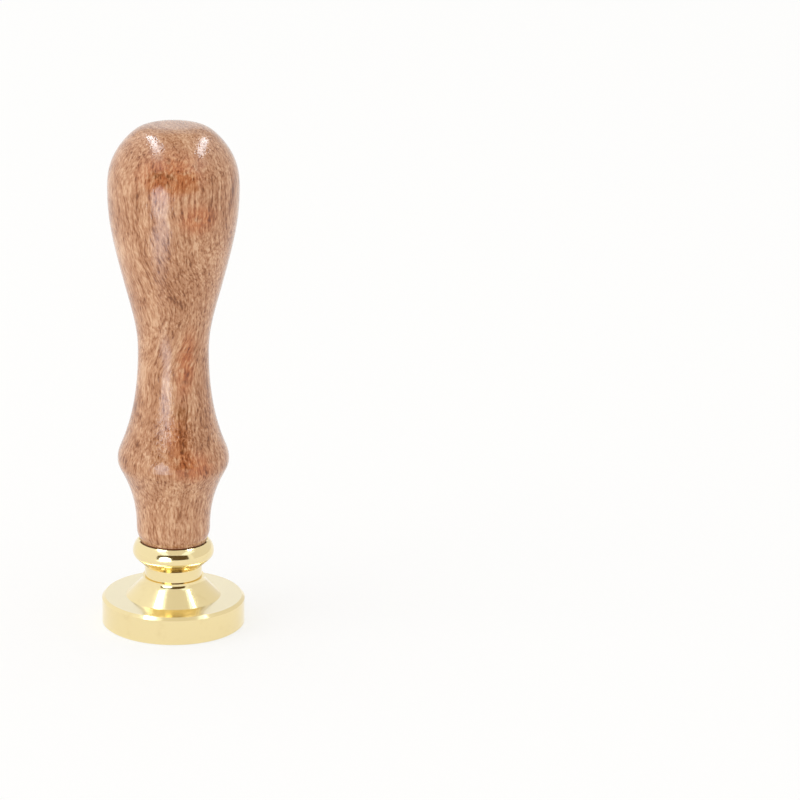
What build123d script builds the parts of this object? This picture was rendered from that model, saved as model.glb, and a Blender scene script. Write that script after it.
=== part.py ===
from build123d import *
import math
import os

# Wax seal stamp: a turned wooden handle screwed onto a brass seal head, with a brass ferrule between.
# Millimetres, +Z up. The stamping face lies on z = 0 and every piece is turned about the Z axis.

# Seal head, from the stamping face up
disc_diameter = 25.0
disc_height = 4.95
disc_rim_chamfer = 0.5
face_edge_chamfer = 0.2
cone_foot_diameter = 16.6
cone_height = 2.95
cone_top_round = 1.3
collar_diameter = 10.7
collar_height = 0.65

# Ornament cut into the stamping face: a leafy wreath around a rosette
engraving_depth = 0.7
wreath_diameter = 17.0
stem_width = 0.5
sprig_count = 16
leaf_length = 2.7
leaf_width = 1.15
leaf_lean = 38.0  # degrees from the stem
petal_count = 8
petal_length = 3.4
petal_width = 1.6
rosette_eye_diameter = 1.8
rosette_eye_gap = 0.4

# Ferrule, from the neck up
neck_diameter = 10.0
neck_height = 2.0
neck_edge_chamfer = 0.1
bead_shoulder_diameter = 12.9
bead_taper_height = 1.35
bead_diameter = 14.2
bead_lower_height = 1.2
bead_upper_height = 2.0
rim_width = 0.1
socket_depth = 0.3

# Handle, from the foot up; the small steps place the points that shape each curve
foot_diameter = 11.7
foot_edge_round = 0.5
foot_reveal = 0.35
ankle_diameter = 12.8
ankle_rise = 2.15
bulge_diameter = 19.35
bulge_rise = 12.5
bulge_curve_drop = 2.2
bulge_curve_climb = 2.7
bulge_curve_inset = 0.7
waist_diameter = 12.25
waist_rise = 19.4
waist_curve_climb = 9.6
waist_curve_gain = 1.63
bulb_diameter = 22.6
bulb_rise = 29.2
bulb_curve_drop = 8.4
bulb_curve_inset = 0.78
crown_rise = 10.6
cheek_drop = 4.4
cheek_inset = 1.65
brow_drop = 1.4
brow_inset = 4.2

# Screw joint: right-hand metric thread
thread_diameter = 6.0
thread_pitch = 1.0
flank_angle = 30.0  # degrees, half of the angle between two flanks
head_engagement = 5.0
insert_engagement = 11.5
stud_point_length = 0.6
hex_socket_across_flats = 3.0
hex_socket_depth = 2.5
thread_mouth_depth = 0.4

# Barbed insert pressed into the handle
insert_diameter = 8.6
insert_length = 13.0
insert_recess = 0.3
barb_count = 6
barb_depth = 0.35

# Clearances, measured on the radius or along the axis
thread_clearance = 0.12
stud_clearance = 0.2
socket_clearance = 0.2
insert_clearance = 0.03
end_clearance = 0.4
mouth_clearance = 0.1

# Thread form: a flat crest of an eighth and a flat root of a quarter of the pitch, with flanks between
crest_width = thread_pitch / 8
root_width = thread_pitch / 4
flank_slope = math.tan(math.radians(flank_angle))
thread_depth = (thread_pitch - crest_width - root_width) / 2 / flank_slope
thread_radius = thread_diameter / 2
rib_sink = 0.05
rib_half_crest = crest_width / 2
rib_half_foot = (thread_pitch - root_width) / 2 + rib_sink * flank_slope
cutter_overrun = 2 * thread_pitch

# Drill point left at the end of the handle's bore, as half of its included angle in degrees
drill_half_angle = 59.0

# Heights of the shared faces
cone_top = disc_height + cone_height
head_top = cone_top + collar_height
neck_top = head_top + neck_height
bead_shoulder = neck_top + bead_taper_height
bead_middle = bead_shoulder + bead_lower_height
ferrule_top = bead_middle + bead_upper_height
handle_bottom = ferrule_top - socket_depth
ankle = ferrule_top + foot_reveal + ankle_rise
bulge = ankle + bulge_rise
waist = bulge + waist_rise
bulb = waist + bulb_rise
crown = bulb + crown_rise
insert_bottom = handle_bottom + insert_recess
insert_top = insert_bottom + insert_length
stud_bottom = head_top - head_engagement
stud_top = insert_bottom + insert_engagement
head_hole_bottom = stud_bottom - stud_point_length - end_clearance

# Radii that mating pieces share
socket_radius = foot_diameter / 2 + socket_clearance
insert_bore_radius = insert_diameter / 2 + insert_clearance
mouth_radius = thread_radius + thread_clearance + mouth_clearance


def turned(edges):
    """Revolve a closed outline of (radius, height) edges about the Z axis."""
    return revolve(Plane.XZ * make_face(edges), Axis.Z)


def rounded(face, corner, radius):
    """Round the corner of a flat outline that lies nearest to a point."""
    return fillet(face.vertices().sort_by_distance(corner)[0], radius)


def thread_rib(major, bottom, top):
    """Helical rib of the thread. Its phase depends on height alone, so all the ribs are in mesh."""
    path = Helix(thread_pitch, top - bottom, major - thread_depth)
    section = make_face(Polyline(
        (-rib_sink, -rib_half_foot),
        (thread_depth, -rib_half_crest),
        (thread_depth, rib_half_crest),
        (-rib_sink, rib_half_foot),
        close=True,
    ))
    start = Plane(origin=path @ 0, x_dir=(1, 0, 0), z_dir=path % 0)
    rib = sweep(start * section, path, is_frenet=True)
    return Pos(0, 0, bottom) * Rot(0, 0, 360 * bottom / thread_pitch) * rib


def upright_cylinder(radius, bottom, top):
    """Cylinder on the Z axis between two heights."""
    return Pos(0, 0, bottom) * Cylinder(radius, top - bottom, align=(Align.CENTER, Align.CENTER, Align.MIN))


def threaded_rod(major, bottom, top, plain_end):
    """Rod with a thread along it, apart from a plain length at each end."""
    core = upright_cylinder(major - thread_depth, bottom, top)
    inset = plain_end + rib_half_foot
    return core + thread_rib(major, bottom + inset, top - inset)


def hole_cutter(bottom, top):
    """Cutter for a threaded hole that the stud turns in freely."""
    return threaded_rod(thread_radius + thread_clearance, bottom, top, 0)


def leaf(length, width):
    """Pointed oval that grows along X from the origin."""
    tip = (length, 0)
    upper = ThreePointArc((0, 0), (length / 2, width / 2), tip)
    lower = ThreePointArc(tip, (length / 2, -width / 2), (0, 0))
    return make_face([upper, lower])


def ornament():
    """Sketch of the wreath and the rosette on the stamping face."""
    stem_radius = wreath_diameter / 2
    drawing = Circle(stem_radius + stem_width / 2) - Circle(stem_radius - stem_width / 2)
    sprig = leaf(leaf_length, leaf_width)
    for spot in PolarLocations(stem_radius, sprig_count):
        drawing += spot * Rot(0, 0, 90 - leaf_lean) * sprig
        drawing += spot * Rot(0, 0, 90 + leaf_lean) * sprig
    petal_root = rosette_eye_diameter / 2 + rosette_eye_gap
    drawing += [spot * leaf(petal_length, petal_width) for spot in PolarLocations(petal_root, petal_count)]
    return drawing + Circle(rosette_eye_diameter / 2)


def make_seal_head():
    """Disc, cone and collar in one turned piece, threaded for the stud and engraved underneath."""
    disc_radius = disc_diameter / 2
    collar_radius = collar_diameter / 2
    outline = make_face(Polyline(
        (0, 0),
        (disc_radius - face_edge_chamfer, 0),
        (disc_radius, face_edge_chamfer),
        (disc_radius, disc_height - disc_rim_chamfer),
        (disc_radius - disc_rim_chamfer, disc_height),
        (cone_foot_diameter / 2, disc_height),
        (collar_radius, cone_top),
        (collar_radius, head_top),
        (0, head_top),
        close=True,
    ))
    outline = rounded(outline, (collar_radius, cone_top), cone_top_round)
    body = revolve(Plane.XZ * outline, Axis.Z)
    body -= upright_cylinder(mouth_radius, head_top - thread_mouth_depth, head_top)
    body -= hole_cutter(head_hole_bottom, head_top + cutter_overrun)
    return body - extrude(ornament(), engraving_depth)


def make_ferrule():
    """Loose sleeve: a plain neck under a bead, with a shallow socket for the handle's foot."""
    bore = thread_radius + stud_clearance
    neck_radius = neck_diameter / 2
    shoulder_point = (bead_shoulder_diameter / 2, bead_shoulder)
    widest_point = (bead_diameter / 2, bead_middle)
    rim_point = (socket_radius + rim_width, ferrule_top)
    return turned([
        Polyline(
            (bore, head_top),
            (neck_radius - neck_edge_chamfer, head_top),
            (neck_radius, head_top + neck_edge_chamfer),
            (neck_radius, neck_top),
            shoulder_point,
        ),
        TangentArc(widest_point, shoulder_point, tangent=(0, -1)),
        TangentArc(widest_point, rim_point, tangent=(0, 1)),
        Polyline(
            rim_point,
            (socket_radius, ferrule_top),
            (socket_radius, handle_bottom),
            (bore, handle_bottom),
            (bore, head_top),
        ),
    ])


def make_handle():
    """Turned handle: foot, bulge, waist and bulb, with a drilled bore for the insert."""
    foot_radius = foot_diameter / 2
    bulge_radius = bulge_diameter / 2
    waist_radius = waist_diameter / 2
    bulb_radius = bulb_diameter / 2
    foot_edge = (foot_radius - foot_edge_round, handle_bottom)
    foot_side = (foot_radius, handle_bottom + foot_edge_round)
    foot_point = (foot_radius, ferrule_top + foot_reveal)
    ankle_point = (ankle_diameter / 2, ankle)
    bulge_point = (bulge_radius, bulge)
    waist_point = (waist_radius, waist)
    bulb_point = (bulb_radius, bulb)
    crown_point = (0, crown)
    bulge_lower_curve = (bulge_radius - bulge_curve_inset, bulge - bulge_curve_drop)
    bulge_upper_curve = (bulge_radius - bulge_curve_inset, bulge + bulge_curve_climb)
    waist_curve = (waist_radius + waist_curve_gain, waist + waist_curve_climb)
    bulb_curve = (bulb_radius - bulb_curve_inset, bulb - bulb_curve_drop)
    cheek = (bulb_radius - cheek_inset, crown - cheek_drop)
    brow = (bulb_radius - brow_inset, crown - brow_drop)
    bore_top = insert_top + end_clearance
    bore_tip = bore_top + insert_bore_radius / math.tan(math.radians(drill_half_angle))
    up = (0, 1)
    return turned([
        Line((insert_bore_radius, handle_bottom), foot_edge),
        TangentArc(foot_edge, foot_side, tangent=(1, 0)),
        Line(foot_side, foot_point),
        TangentArc(ankle_point, foot_point, tangent=(0, -1)),
        Spline(ankle_point, bulge_lower_curve, bulge_point, tangents=[up, up]),
        Spline(bulge_point, bulge_upper_curve, waist_point, tangents=[up, up]),
        Spline(waist_point, waist_curve, bulb_curve, bulb_point, tangents=[up, up]),
        Spline(bulb_point, cheek, brow, crown_point, tangents=[up, (-1, 0)]),
        Polyline(
            crown_point,
            (0, bore_tip),
            (insert_bore_radius, bore_top),
            (insert_bore_radius, handle_bottom),
        ),
    ])


def make_threaded_insert():
    """Barbed sleeve with an internal thread; each barb tapers upwards, the way it is pressed in."""
    crest = insert_diameter / 2
    root = crest - barb_depth
    barb_height = insert_length / barb_count
    side = [(0, insert_bottom)]
    for i in range(barb_count):
        side.append((crest, insert_bottom + i * barb_height))
        side.append((root, insert_bottom + (i + 1) * barb_height))
    side.append((0, insert_top))
    sleeve = turned(Polyline(*side, close=True))
    sleeve -= upright_cylinder(mouth_radius, insert_bottom, insert_bottom + thread_mouth_depth)
    return sleeve - hole_cutter(insert_bottom - cutter_overrun, insert_top + cutter_overrun)


def make_stud():
    """Threaded stud with a plain point at each end and a hex socket in the lower one."""
    lower_end = stud_bottom - stud_point_length
    upper_end = stud_top + stud_point_length
    stud = threaded_rod(thread_radius, lower_end, upper_end, stud_point_length)
    hexagon = RegularPolygon(hex_socket_across_flats / 2, 6, major_radius=False)
    return stud - extrude(Pos(0, 0, lower_end) * hexagon, hex_socket_depth)


os.makedirs("parts", exist_ok=True)
export_step(make_handle(), "parts/handle.step")
export_step(make_threaded_insert(), "parts/threaded_insert.step")
export_step(make_stud(), "parts/stud.step")
export_step(make_ferrule(), "parts/ferrule.step")
export_step(make_seal_head(), "parts/seal_head.step")
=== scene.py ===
import math

import bpy
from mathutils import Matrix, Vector

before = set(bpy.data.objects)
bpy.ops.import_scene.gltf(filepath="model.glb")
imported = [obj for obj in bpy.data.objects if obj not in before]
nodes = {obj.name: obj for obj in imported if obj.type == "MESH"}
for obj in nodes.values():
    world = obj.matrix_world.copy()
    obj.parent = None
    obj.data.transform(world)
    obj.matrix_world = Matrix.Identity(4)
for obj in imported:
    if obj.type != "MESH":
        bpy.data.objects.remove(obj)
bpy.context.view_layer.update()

MM = 0.001

# Camera, in the photograph's frame of 800 by 800 pixels
IMAGE_PIXELS = 800
FOCAL_PIXELS = 4060.8
AIM_PIXEL = (173.4, 375.2)
CAMERA_DISTANCE = 0.700
CAMERA_ELEVATION = math.radians(17.2)
AIM_HEIGHT = 0.045
SENSOR_MM = 36.0

# Floor, in metres, with an opening under the stamping face
FLOOR_RADIUS = 4.0
FLOOR_OPENING = 0.0121
FLOOR_STEPS = 96
FLOOR_COLOUR = (0.98, 0.97, 0.94, 1)
FLOOR_ROUGHNESS = 0.9
FLOOR_WHITENESS = 0.65

# Light on the stamp, with the side lamp's places in metres
WHITE = (1, 1, 1, 1)
WORLD_LIGHT = 0.94
SIDE_LAMP_WATTS = 4.2
SIDE_LAMP_SIZE = 1.2
SIDE_LAMP_PLACE = (-1.2, -0.5, 0.7)
SIDE_LAMP_AIM = (0, 0, 0.05)

# Colours of the panels that the lacquer and the brass mirror
LAMP_COLOUR = (0.80, 0.91, 1.0, 1)
WINDOW_COLOUR = (0.72, 0.86, 1.0, 1)
DARK_CARD = (0.12, 0.08, 0.04, 1)
CEILING_CARD = (0.52, 0.48, 0.42, 1)
FRONT_CEILING_CARD = (0.82, 0.79, 0.74, 1)
WALL_CARD = (0.86, 0.84, 0.81, 1)
BACK_CARD = (0.62, 0.58, 0.53, 1)

# Wood colours, from the darkest tone to the lightest
WOOD_TONES = (
    (0.05, (0.197, 0.058, 0.011, 1)),
    (0.25, (0.325, 0.116, 0.033, 1)),
    (0.50, (0.463, 0.208, 0.095, 1)),
    (0.75, (0.577, 0.297, 0.154, 1)),
    (0.95, (0.712, 0.423, 0.248, 1)),
)
WOOD_RED_TONES = (
    (0.05, (0.18, 0.040, 0.008, 1)),
    (0.25, (0.31, 0.075, 0.016, 1)),
    (0.50, (0.45, 0.132, 0.038, 1)),
    (0.75, (0.55, 0.195, 0.068, 1)),
    (0.95, (0.66, 0.310, 0.140, 1)),
)

# Redder patches on the front of the handle: centre and reach in millimetres, and lean
WOOD_RED_PATCHES = (
    ((-0.5, -10, 83), (9, 6, 6), 0),
    ((4, -10, 75.5), (5, 6, 4), 0),
    ((2.2, -6, 48.6), (2.5, 5, 9), 0.1),
    ((0.7, -10, 37), (4.5, 5, 7), 0),
    ((3.5, -9, 31), (6, 6, 4), 0),
)

# Veins, and broad darker and lighter patches, on the front of the handle, placed in the same way, with a
# depth of tone.
# Those with a depth below 0 are lighter than the wood around them. The small ones are veins and streaks in
# the wood; the broad ones are painted shade and painted light.
WOOD_VEINS_AND_PAINTED_SHADING = (
    ((-6, -9, 80), (0.6, 6, 8), 0, 0.34),
    ((-5.1, -10, 80), (0.5, 6, 7), 0, -0.16),
    ((-4.1, -10, 79), (0.4, 6, 7), 0, 0.30),
    ((-5.2, -9, 69), (0.7, 6, 9), -0.26, 0.34),
    ((0, -8, 61), (0.9, 5, 5), -0.7, 0.12),
    ((2, -6, 45.5), (0.6, 5, 4), 0.1, 0.30),
    ((9.8, -4.5, 78), (0.6, 5, 7), 0.19, 0.45),
    # Broad patches from here on: painted shade, and painted light where the depth is below 0
    ((1, -8, 63), (8, 7, 9), 0, 0.15),
    ((-8, -8, 77), (5, 7, 10), 0, 0.09),
    ((-0.5, -10, 83), (9, 6, 6), 0, 0.06),
    ((-4.5, -5, 50), (4, 6, 12), 0, -0.07),
    ((4.5, -5, 50), (4, 6, 12), 0, 0.08),
    ((1, -7, 36), (8, 6, 8), 0, 0.11),
    ((0, -7, 19), (9, 6, 6), 0, -0.05),
)

# Share of a mark's reach inside which it is at its full strength
MARK_CORE = 0.15

# How far the fibres fray the edges of the veins and of the painted shade and painted light, in millimetres
MARK_FRAY = 1.0

# Band around the flare where the lacquer is rippled and mirrors less clearly, placed as the marks are
WOOD_DULL_BAND = ((0, 0, 36.5), (40, 40, 7), 0)

# Swing of the grain: heights between which it goes over and comes back, and how far, in millimetres
SWING_OUT = (76, 56)
SWING_WIDTH = 4.5
SWING_BACK = (55, 45)
SWING_RETURN = 2.5

# Small bends of the grain, sideways and front to back, in millimetres
SIDE_BEND = 2.6
DEPTH_BEND = 2.0

# Noise textures of the wood: scale per millimetre, detail and roughness
SIDE_BEND_NOISE = (0.10, 2.0, 0.5)
DEPTH_BEND_NOISE = (0.13, 2.0, 0.5)
LAYER_NOISE = (1.1, 2.0, 0.6)
LINE_NOISE = (1.9, 1.0, 0.5)
FIBRE_NOISE = (2.4, 3.0, 0.65)
SPECKLE_NOISE = (3.1, 2.0, 0.6)
MOTTLE_NOISE = (0.17, 3.0, 0.55)
BLOTCH_NOISE = (0.5, 3.0, 0.6)

# How many times longer than wide the grain is in each texture
LAYER_STRETCH = 30
LINE_STRETCH = 20
FIBRE_STRETCH = 11
SPECKLE_STRETCH = 3.6
PORE_STRETCH = 4.5

# Slant of the layers, as steps per millimetre sideways and in depth
LAYER_SLANT = (0.9, 0.44)

# How fast the layers and the dark lines change in depth
LAYER_CHANGE = 0.06
LINE_CHANGE = 0.3

# Pores: scale per millimetre, and how far from a pore's middle, in cells, it is full and where it ends
PORE_SCALE = 1.9
PORE_CORE = 0.10
PORE_EDGE = 0.38

# Noise values between which the dark lines and the red blotches go from nothing to full strength
LINE_LIMITS = (0.44, 0.30)
BLOTCH_LIMITS = (0.28, 0.52)

# Tone of the wood, and how much each texture moves it
WOOD_MIDDLE_TONE = 0.625
LAYER_CONTRAST = 1.0
FIBRE_CONTRAST = 1.2
SPECKLE_CONTRAST = 1.6
MOTTLE_CONTRAST = 0.4
PORE_DARKNESS = 0.30
LINE_DARKNESS = 0.18

# Relief of the grain: share of each texture, added depth in the redder patches, and depth in metres
FIBRE_RELIEF = 0.5
SPECKLE_RELIEF = 0.4
PORE_RELIEF = -0.8
RED_RELIEF = 1.2
WOOD_RELIEF = 0.03 * MM

# Lacquer on the wood
WOOD_ROUGHNESS = 0.5
WOOD_SPECULAR = 0.1
LACQUER_ROUGHNESS = 0.14
LACQUER_IOR = 1.5
LACQUER_RIPPLE = 5.0
LACQUER_RELIEF = 0.016 * MM

# Heights between which the wood turns darker at the joint with the ferrule, in millimetres: painted shade in
# the crease between wood and brass
FOOT_PAINTED_SHADE = (15.40, 15.25)

# Metal colours
BRASS = (0.90, 0.745, 0.40, 1)
BRASS_DULL = (0.84, 0.67, 0.34, 1)
BRASS_PALE = (0.925, 0.825, 0.55, 1)
PATINA = (0.17, 0.11, 0.05, 1)
STEEL = (0.62, 0.62, 0.63, 1)
STEEL_DARK = (0.48, 0.48, 0.50, 1)

# Finish of the brass: tool lines, smudges and a thin lacquer
POLISHED_ROUGHNESS = 0.09
TURNED_ROUGHNESS = 0.25
TOOL_LINE_NOISE = (22.0, 2.0, 0.5)
TOOL_LINE_RELIEF = 0.0004 * MM
SMUDGE_NOISE = (0.35, 3.0, 0.6)
SMUDGE_LIMITS = (0.5, 0.9)
SMUDGE_ROUGHNESS = 0.04
BRASS_LACQUER = 0.5
BRASS_LACQUER_ROUGHNESS = 0.08

# The disc's upper face is paler and less polished.
# This sets in between these heights in millimetres, and between these shares of facing upward.
SATIN_HEIGHTS = (5.3, 5.0)
SATIN_FACINGS = (0.8, 0.95)
SATIN_ROUGHNESS = 0.1

# Patina lies in the engraving, between these heights and within this radius, in millimetres
ENGRAVING_HEIGHTS = (0.05, 0.75)
ENGRAVING_RADIUS = 12.0
PATINA_STRENGTH = 0.7

# Finish of the steel
STEEL_NOISE = (1.6, 4.0, 0.6)
STEEL_ROUGHNESS = 0.22
STEEL_ROUGHNESS_CHANGE = 0.15

# Middle of a noise texture's values, and the sockets of a Mix node that takes colours
NOISE_MIDDLE = 0.5
MIX_FACTOR = 0
MIX_FIRST = 6
MIX_SECOND = 7
MIX_RESULT = 2


class Graph:
    """Node tree of one material, with short calls that add and link nodes."""

    def __init__(self, name):
        self.material = bpy.data.materials.new(name)
        self.material.use_nodes = True
        self.tree = self.material.node_tree
        self.shader = self.tree.nodes["Principled BSDF"]

    def add(self, kind, settings=None, **inputs):
        """Add a node; inputs are named after its sockets, with numbers or other nodes' sockets."""
        made = self.tree.nodes.new(kind)
        for key, value in (settings or {}).items():
            setattr(made, key, value)
        for key, value in inputs.items():
            self.feed(made.inputs[key.replace("_", " ")], value)
        return made

    def feed(self, socket, value):
        """Link a socket, or set its constant."""
        if isinstance(value, bpy.types.NodeSocket):
            self.tree.links.new(value, socket)
        else:
            socket.default_value = value

    def math(self, operation, *values):
        """Result of a Math node."""
        made = self.tree.nodes.new("ShaderNodeMath")
        made.operation = operation
        for socket, value in zip(made.inputs, values):
            self.feed(socket, value)
        return made.outputs[0]

    def times(self, value, factor):
        """Product of two values."""
        return self.math("MULTIPLY", value, factor)

    def less(self, value, taken):
        """Difference of two values."""
        return self.math("SUBTRACT", value, taken)

    def total(self, *values):
        """Sum of several values."""
        result = values[0]
        for value in values[1:]:
            result = self.math("ADD", result, value)
        return result

    def noise(self, position, scale, detail, roughness):
        """Value of a noise texture."""
        made = self.add("ShaderNodeTexNoise", Vector=position, Scale=scale)
        made.inputs["Detail"].default_value = detail
        made.inputs["Roughness"].default_value = roughness
        return made.outputs[0]

    def spread(self, value, width):
        """A noise value about 0, made this wide."""
        return self.times(self.less(value, NOISE_MIDDLE), width)

    def between(self, value, low, high):
        """Smooth step that is 0 at low and 1 at high."""
        made = self.add("ShaderNodeMapRange", {"interpolation_type": "SMOOTHSTEP"}, Value=value)
        made.inputs["From Min"].default_value = low
        made.inputs["From Max"].default_value = high
        return made.outputs[0]

    def mix(self, factor, first, second):
        """Blend of two colours."""
        made = self.tree.nodes.new("ShaderNodeMix")
        made.data_type = "RGBA"
        self.feed(made.inputs[MIX_FACTOR], factor)
        self.feed(made.inputs[MIX_FIRST], first)
        self.feed(made.inputs[MIX_SECOND], second)
        return made.outputs[MIX_RESULT]

    def coordinates(self, kind):
        """Texture coordinates of one kind."""
        return self.tree.nodes.new("ShaderNodeTexCoord").outputs[kind]

    def place(self):
        """Position on the piece in millimetres."""
        metres = self.coordinates("Object")
        scaled = self.add("ShaderNodeVectorMath", {"operation": "SCALE"}, Vector=metres, Scale=1 / MM)
        return scaled.outputs[0]

    def parts(self, vector):
        """The three numbers of a vector."""
        return self.add("ShaderNodeSeparateXYZ", Vector=vector).outputs

    def vector(self, x, y, z):
        """Vector of three numbers."""
        return self.add("ShaderNodeCombineXYZ", X=x, Y=y, Z=z).outputs[0]

    def length(self, vector):
        """Length of a vector."""
        return self.add("ShaderNodeVectorMath", {"operation": "LENGTH"}, Vector=vector).outputs["Value"]

    def pores(self, position, scale, core, edge):
        """1 inside scattered cells' cores, 0 outside their edges."""
        made = self.add("ShaderNodeTexVoronoi", Vector=position, Scale=scale)
        return self.between(made.outputs["Distance"], edge, core)

    def ramp(self, value, stops):
        """Colour along a scale of (place, colour) stops."""
        made = self.add("ShaderNodeValToRGB", Fac=value)
        elements = made.color_ramp.elements
        while len(elements) < len(stops):
            elements.new(0.5)
        for element, (position, colour) in zip(elements, stops):
            element.position = position
            element.color = colour
        return made.outputs[0]

    def bump(self, height, distance):
        """Normal from a height, with its depth in metres."""
        return self.add("ShaderNodeBump", Height=height, Distance=distance, Strength=1.0).outputs[0]

    def mix_shaders(self, factor, first, second):
        """Blend of two shaders' outputs."""
        made = self.add("ShaderNodeMixShader", Fac=factor)
        self.feed(made.inputs[1], first)
        self.feed(made.inputs[2], second)
        return made.outputs[0]

    def show(self, surface):
        """Use another shader's output as the surface."""
        self.feed(self.tree.nodes["Material Output"].inputs["Surface"], surface)

    def finish(self, **inputs):
        """Set the shader's sockets and return the material."""
        for key, value in inputs.items():
            self.feed(self.shader.inputs[key.replace("_", " ")], value)
        return self.material


def drifted(g, x, z):
    """X on the wood's own layers: the grain swings to one side below the bulb and part of the way back."""
    over = g.times(g.between(z, *SWING_OUT), SWING_WIDTH)
    back = g.times(g.between(z, *SWING_BACK), SWING_RETURN)
    return g.less(x, g.less(over, back))


def mark(g, x, y, z, centre, reach, lean):
    """1 at the centre of an oval mark, fading to 0 at its reach; lean is its step in X per step in height."""
    height = g.less(z, centre[2])
    side = g.less(g.less(x, centre[0]), g.times(height, lean))
    front = g.less(y, centre[1])
    scaled = [g.math("DIVIDE", part, size) for part, size in zip((side, front, height), reach)]
    return g.between(g.length(g.vector(*scaled)), 1.0, MARK_CORE)


def along(g, across, deep, z, stretch):
    """Place in the wood, drawn out along the grain."""
    return g.vector(across, deep, g.times(z, 1 / stretch))


def wood_tone(g, place, across, deep, z, fibre, speckle, pores):
    """Tone of the plain wood: layers, fibres, speckles and mottle, with dark lines and pores."""
    ring = g.total(g.times(across, LAYER_SLANT[0]), g.times(deep, LAYER_SLANT[1]))
    layers = g.noise(along(g, ring, g.times(deep, LAYER_CHANGE), z, LAYER_STRETCH), *LAYER_NOISE)
    lines = g.noise(along(g, ring, g.times(deep, LINE_CHANGE), z, LINE_STRETCH), *LINE_NOISE)
    mottle = g.noise(place, *MOTTLE_NOISE)
    tone = g.total(
        WOOD_MIDDLE_TONE,
        g.spread(layers, LAYER_CONTRAST),
        g.spread(fibre, FIBRE_CONTRAST),
        g.spread(speckle, SPECKLE_CONTRAST),
        g.spread(mottle, MOTTLE_CONTRAST),
    )
    tone = g.less(tone, g.times(pores, PORE_DARKNESS))
    return g.less(tone, g.times(g.between(lines, *LINE_LIMITS), LINE_DARKNESS))


def veins_and_painted_shading(g, x, y, z, fibre):
    """Depth of tone of the veins and of the broad painted shade and painted light, whose edges the fibres
    fray.
    """
    frayed = g.total(x, g.spread(fibre, MARK_FRAY))
    depths = [g.times(mark(g, frayed, y, z, *spot), depth) for *spot, depth in WOOD_VEINS_AND_PAINTED_SHADING]
    return g.total(*depths)


def wood_redness(g, place, x, y, z):
    """1 in the redder patches, broken up into blotches."""
    patches = g.total(*[mark(g, x, y, z, *patch) for patch in WOOD_RED_PATCHES])
    blotches = g.between(g.noise(place, *BLOTCH_NOISE), *BLOTCH_LIMITS)
    return g.times(patches, blotches)


def make_wood():
    """Lacquered hardwood: fine layers and fibres, short dark pores, redder patches and a few veins, with
    broad painted shade and painted light, and painted shade at the foot.
    """
    g = Graph("lacquered_hardwood")
    place = g.place()
    x, y, z = g.parts(place)
    across = g.total(drifted(g, x, z), g.spread(g.noise(place, *SIDE_BEND_NOISE), SIDE_BEND))
    deep = g.total(y, g.spread(g.noise(place, *DEPTH_BEND_NOISE), DEPTH_BEND))
    fibre = g.noise(along(g, across, deep, z, FIBRE_STRETCH), *FIBRE_NOISE)
    speckle = g.noise(along(g, across, deep, z, SPECKLE_STRETCH), *SPECKLE_NOISE)
    pores = g.pores(along(g, across, deep, z, PORE_STRETCH), PORE_SCALE, PORE_CORE, PORE_EDGE)
    tone = wood_tone(g, place, across, deep, z, fibre, speckle, pores)
    # Veins in the wood, and the broad painted shade and painted light
    tone = g.less(tone, veins_and_painted_shading(g, x, y, z, fibre))
    red = wood_redness(g, place, x, y, z)
    colour = g.mix(red, g.ramp(tone, WOOD_TONES), g.ramp(tone, WOOD_RED_TONES))
    # Painted shade in the crease at the ferrule: the foot of the wood turns to the darkest tone
    painted_foot_shade = WOOD_TONES[0][1]
    colour = g.mix(g.between(z, *FOOT_PAINTED_SHADE), colour, painted_foot_shade)
    height = g.total(
        g.times(fibre, FIBRE_RELIEF),
        g.times(speckle, SPECKLE_RELIEF),
        g.times(pores, PORE_RELIEF),
    )
    open_grain = g.total(1.0, g.times(red, RED_RELIEF))
    ripple = g.times(g.times(speckle, LACQUER_RIPPLE), mark(g, x, y, z, *WOOD_DULL_BAND))
    return g.finish(
        Base_Color=colour,
        Roughness=WOOD_ROUGHNESS,
        Specular_IOR_Level=WOOD_SPECULAR,
        Normal=g.bump(g.times(height, open_grain), WOOD_RELIEF),
        Coat_Weight=1.0,
        Coat_Roughness=LACQUER_ROUGHNESS,
        Coat_IOR=LACQUER_IOR,
        Coat_Normal=g.bump(g.total(height, ripple), LACQUER_RELIEF),
    )


def brass_patina(g, radius, z):
    """Strength of the patina in the engraving, and 0 elsewhere."""
    bottom, top = ENGRAVING_HEIGHTS
    inside = g.times(g.math("LESS_THAN", z, top), g.math("GREATER_THAN", z, bottom))
    inside = g.times(inside, g.math("LESS_THAN", radius, ENGRAVING_RADIUS))
    return g.times(inside, PATINA_STRENGTH)


def make_brass(name, colour, roughness, engraved=False):
    """Turned, lacquered brass: tool lines, faint smudges, a satin disc and, where engraved, patina."""
    g = Graph(name)
    place = g.place()
    x, y, z = g.parts(place)
    radius = g.math("SQRT", g.total(g.times(x, x), g.times(y, y)))
    lines = g.noise(g.vector(radius, 0.0, z), *TOOL_LINE_NOISE)
    smudge = g.noise(place, *SMUDGE_NOISE)
    base = g.mix(g.between(smudge, *SMUDGE_LIMITS), colour, BRASS_DULL)
    upward = g.parts(g.coordinates("Normal"))[2]
    satin = g.times(g.between(z, *SATIN_HEIGHTS), g.between(upward, *SATIN_FACINGS))
    base = g.mix(satin, base, BRASS_PALE)
    if engraved:
        base = g.mix(brass_patina(g, radius, z), base, PATINA)
    return g.finish(
        Base_Color=base,
        Metallic=1.0,
        Roughness=g.total(roughness, g.times(smudge, SMUDGE_ROUGHNESS), g.times(satin, SATIN_ROUGHNESS)),
        Normal=g.bump(lines, TOOL_LINE_RELIEF),
        Coat_Weight=BRASS_LACQUER,
        Coat_Roughness=BRASS_LACQUER_ROUGHNESS,
        Coat_IOR=LACQUER_IOR,
    )


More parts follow.
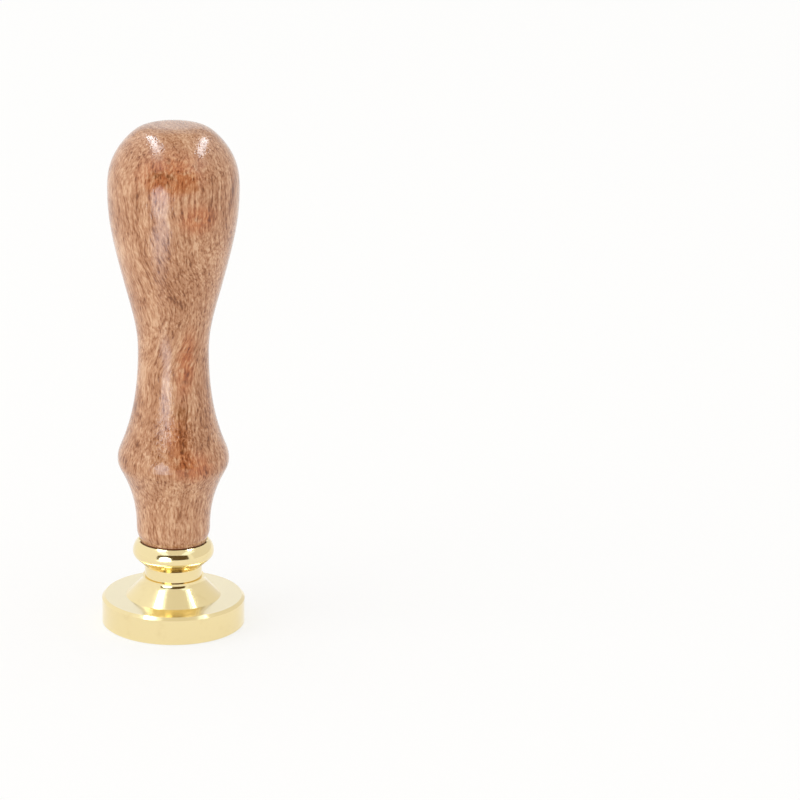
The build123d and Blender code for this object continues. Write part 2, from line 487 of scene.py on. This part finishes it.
def make_steel():
    """Zinc-plated steel with a faint mottle."""
    g = Graph("zinc_plated_steel")
    mottle = g.noise(g.place(), *STEEL_NOISE)
    return g.finish(
        Base_Color=g.mix(mottle, STEEL, STEEL_DARK),
        Metallic=1.0,
        Roughness=g.total(g.times(mottle, STEEL_ROUGHNESS_CHANGE), STEEL_ROUGHNESS),
    )


def dress(node, material):
    """Give a CAD node its finish."""
    mesh = nodes[node].data
    mesh.materials.clear()
    mesh.materials.append(material)


def make_floor_material():
    """Pale floor: mostly plain white to the eye, with enough of the real light left to hold the shadow."""
    g = Graph("pale_floor")
    path = g.tree.nodes.new("ShaderNodeLightPath").outputs
    seen = path["Is Camera Ray"]
    for kind in ("Is Glossy Ray", "Is Transmission Ray"):
        seen = g.math("MAXIMUM", seen, path[kind])
    white = g.add("ShaderNodeEmission", Color=WHITE, Strength=1.0)
    g.show(g.mix_shaders(g.times(seen, FLOOR_WHITENESS), g.shader.outputs[0], white.outputs[0]))
    return g.finish(Base_Color=FLOOR_COLOUR, Roughness=FLOOR_ROUGHNESS, Specular_IOR_Level=0.0)


def add_floor():
    """Round floor, open under the stamping face, so that the engraving can be seen from below."""
    corners = []
    for radius in (FLOOR_OPENING, FLOOR_RADIUS):
        for step in range(FLOOR_STEPS):
            turn = math.tau * step / FLOOR_STEPS
            corners.append((radius * math.cos(turn), radius * math.sin(turn), 0))
    panels = []
    for step in range(FLOOR_STEPS):
        after = (step + 1) % FLOOR_STEPS
        panels.append((step, step + FLOOR_STEPS, after + FLOOR_STEPS, after))
    mesh = bpy.data.meshes.new("floor")
    mesh.from_pydata(corners, [], panels)
    mesh.materials.append(make_floor_material())
    floor = bpy.data.objects.new("floor", mesh)
    bpy.context.scene.collection.objects.link(floor)


def make_card_material(name, colour, strength, edge):
    """Even glow, or one that fades out in an oval; edge is the share of its half width that fades."""
    g = Graph(name)
    surface = g.add("ShaderNodeEmission", Color=colour, Strength=strength).outputs[0]
    if edge:
        faded = g.between(g.length(g.coordinates("Object")), 1.0 - edge, 1.0)
        clear = g.tree.nodes.new("ShaderNodeBsdfTransparent")
        surface = g.mix_shaders(faded, surface, clear.outputs[0])
    g.show(surface)
    return g.material


def add_card(name, centre, facing, size, colour, strength=1.0, edge=0.0):
    """Flat panel that shows in reflections only."""
    bpy.ops.mesh.primitive_plane_add(size=2, location=centre)
    card = bpy.context.object
    card.name = name
    card.rotation_euler = Vector(facing).to_track_quat("Z", "Y").to_euler()
    card.scale = (size[0] / 2, size[1] / 2, 1)
    card.visible_camera = False
    card.visible_diffuse = False
    card.visible_shadow = False
    card.data.materials.append(make_card_material(name, colour, strength, edge))


def add_studio():
    """What the lacquer and the brass mirror, in metres around the stamp.

    There are strip lights overhead at the left and right, a soft window at the front left with its glow on
    the table, a dark card in front of the camera, and toned cards overhead, at the back and at the right.
    """
    down = (0, 0, -1)
    up = (0, 0, 1)
    backward = (0, 1, 0)
    forward = (0, -1, 0)
    leftward = (-1, 0, 0)
    to_stamp = (0.356, 0.934, 0)
    add_card("left_strip", (-0.495, -0.232, 1.2), down, (0.41, 0.20), LAMP_COLOUR, 8.0)
    add_card("left_strip_back", (-0.575, 0.12, 1.21), down, (0.22, 1.40), LAMP_COLOUR, 16.0)
    add_card("left_strip_front", (-0.62, -0.84, 1.2), down, (0.45, 1.00), LAMP_COLOUR, 1.6)
    add_card("right_strip", (0.136, 0.045, 0.24), down, (0.044, 0.17), LAMP_COLOUR, 12.0)
    add_card("right_strip_front", (0.185, -0.13, 0.24), down, (0.13, 0.18), LAMP_COLOUR, 1.4)
    add_card("window", (-0.080, -0.188, 0.042), to_stamp, (0.14, 0.150), WINDOW_COLOUR, 6.0, edge=0.4)
    add_card("table_glow", (-0.052, -0.133, 0.001), up, (0.11, 0.17), WINDOW_COLOUR, 4.6, edge=0.6)
    add_card("dark_card", (-0.04, -0.60, 0.29), backward, (1.24, 0.49), DARK_CARD)
    add_card("ceiling_card", (0.08, 0.30, 0.67), down, (0.48, 0.80), CEILING_CARD)
    add_card("front_ceiling_card", (0.08, -0.38, 0.67), down, (0.48, 0.56), FRONT_CEILING_CARD)
    add_card("back_card", (0.0, 1.0, 0.61), forward, (1.4, 0.30), BACK_CARD)
    add_card("wall_card", (1.30, 1.20, 1.3), leftward, (4.0, 3.0), WALL_CARD)


def add_side_lamp():
    """Broad soft lamp at the left, which lights that side a little more and shows in no reflection."""
    lamp = bpy.data.lights.new("side_lamp", "AREA")
    lamp.energy = SIDE_LAMP_WATTS
    lamp.size = SIDE_LAMP_SIZE
    holder = bpy.data.objects.new("side_lamp", lamp)
    holder.location = SIDE_LAMP_PLACE
    aim = Vector(SIDE_LAMP_AIM) - Vector(SIDE_LAMP_PLACE)
    holder.rotation_euler = aim.to_track_quat("-Z", "Y").to_euler()
    holder.visible_glossy = False
    bpy.context.scene.collection.objects.link(holder)


def set_world():
    """White to the eye and in reflections, and a little less than that as light on the stamp."""
    world = bpy.data.worlds.new("studio")
    bpy.context.scene.world = world
    world.use_nodes = True
    tree = world.node_tree
    background = tree.nodes["Background"]
    background.inputs["Color"].default_value = WHITE
    path = tree.nodes.new("ShaderNodeLightPath").outputs
    strength = tree.nodes.new("ShaderNodeMapRange")
    strength.inputs["To Min"].default_value = 1.0
    strength.inputs["To Max"].default_value = WORLD_LIGHT
    tree.links.new(path["Is Diffuse Ray"], strength.inputs["Value"])
    tree.links.new(strength.outputs[0], background.inputs["Strength"])


def add_camera():
    """Camera at the photograph's angle; the shift puts the stamp left of the middle, as there."""
    camera = bpy.data.cameras.new("camera")
    camera.sensor_width = SENSOR_MM
    camera.lens = FOCAL_PIXELS / IMAGE_PIXELS * SENSOR_MM
    camera.shift_x = 0.5 - AIM_PIXEL[0] / IMAGE_PIXELS
    camera.shift_y = AIM_PIXEL[1] / IMAGE_PIXELS - 0.5
    holder = bpy.data.objects.new("camera", camera)
    back = Vector((0, -math.cos(CAMERA_ELEVATION), math.sin(CAMERA_ELEVATION)))
    holder.location = Vector((0, 0, AIM_HEIGHT)) + back * CAMERA_DISTANCE
    holder.rotation_euler = (-back).to_track_quat("-Z", "Y").to_euler()
    bpy.context.scene.collection.objects.link(holder)
    bpy.context.scene.camera = holder


dress("handle", make_wood())
dress("ferrule", make_brass("polished_brass", BRASS, POLISHED_ROUGHNESS))
dress("seal_head", make_brass("engraved_brass", BRASS, POLISHED_ROUGHNESS, engraved=True))
dress("threaded_insert", make_brass("turned_brass", BRASS_DULL, TURNED_ROUGHNESS))
dress("stud", make_steel())

add_floor()
add_studio()
add_side_lamp()
set_world()
add_camera()
bpy.context.scene.view_settings.view_transform = "Standard"
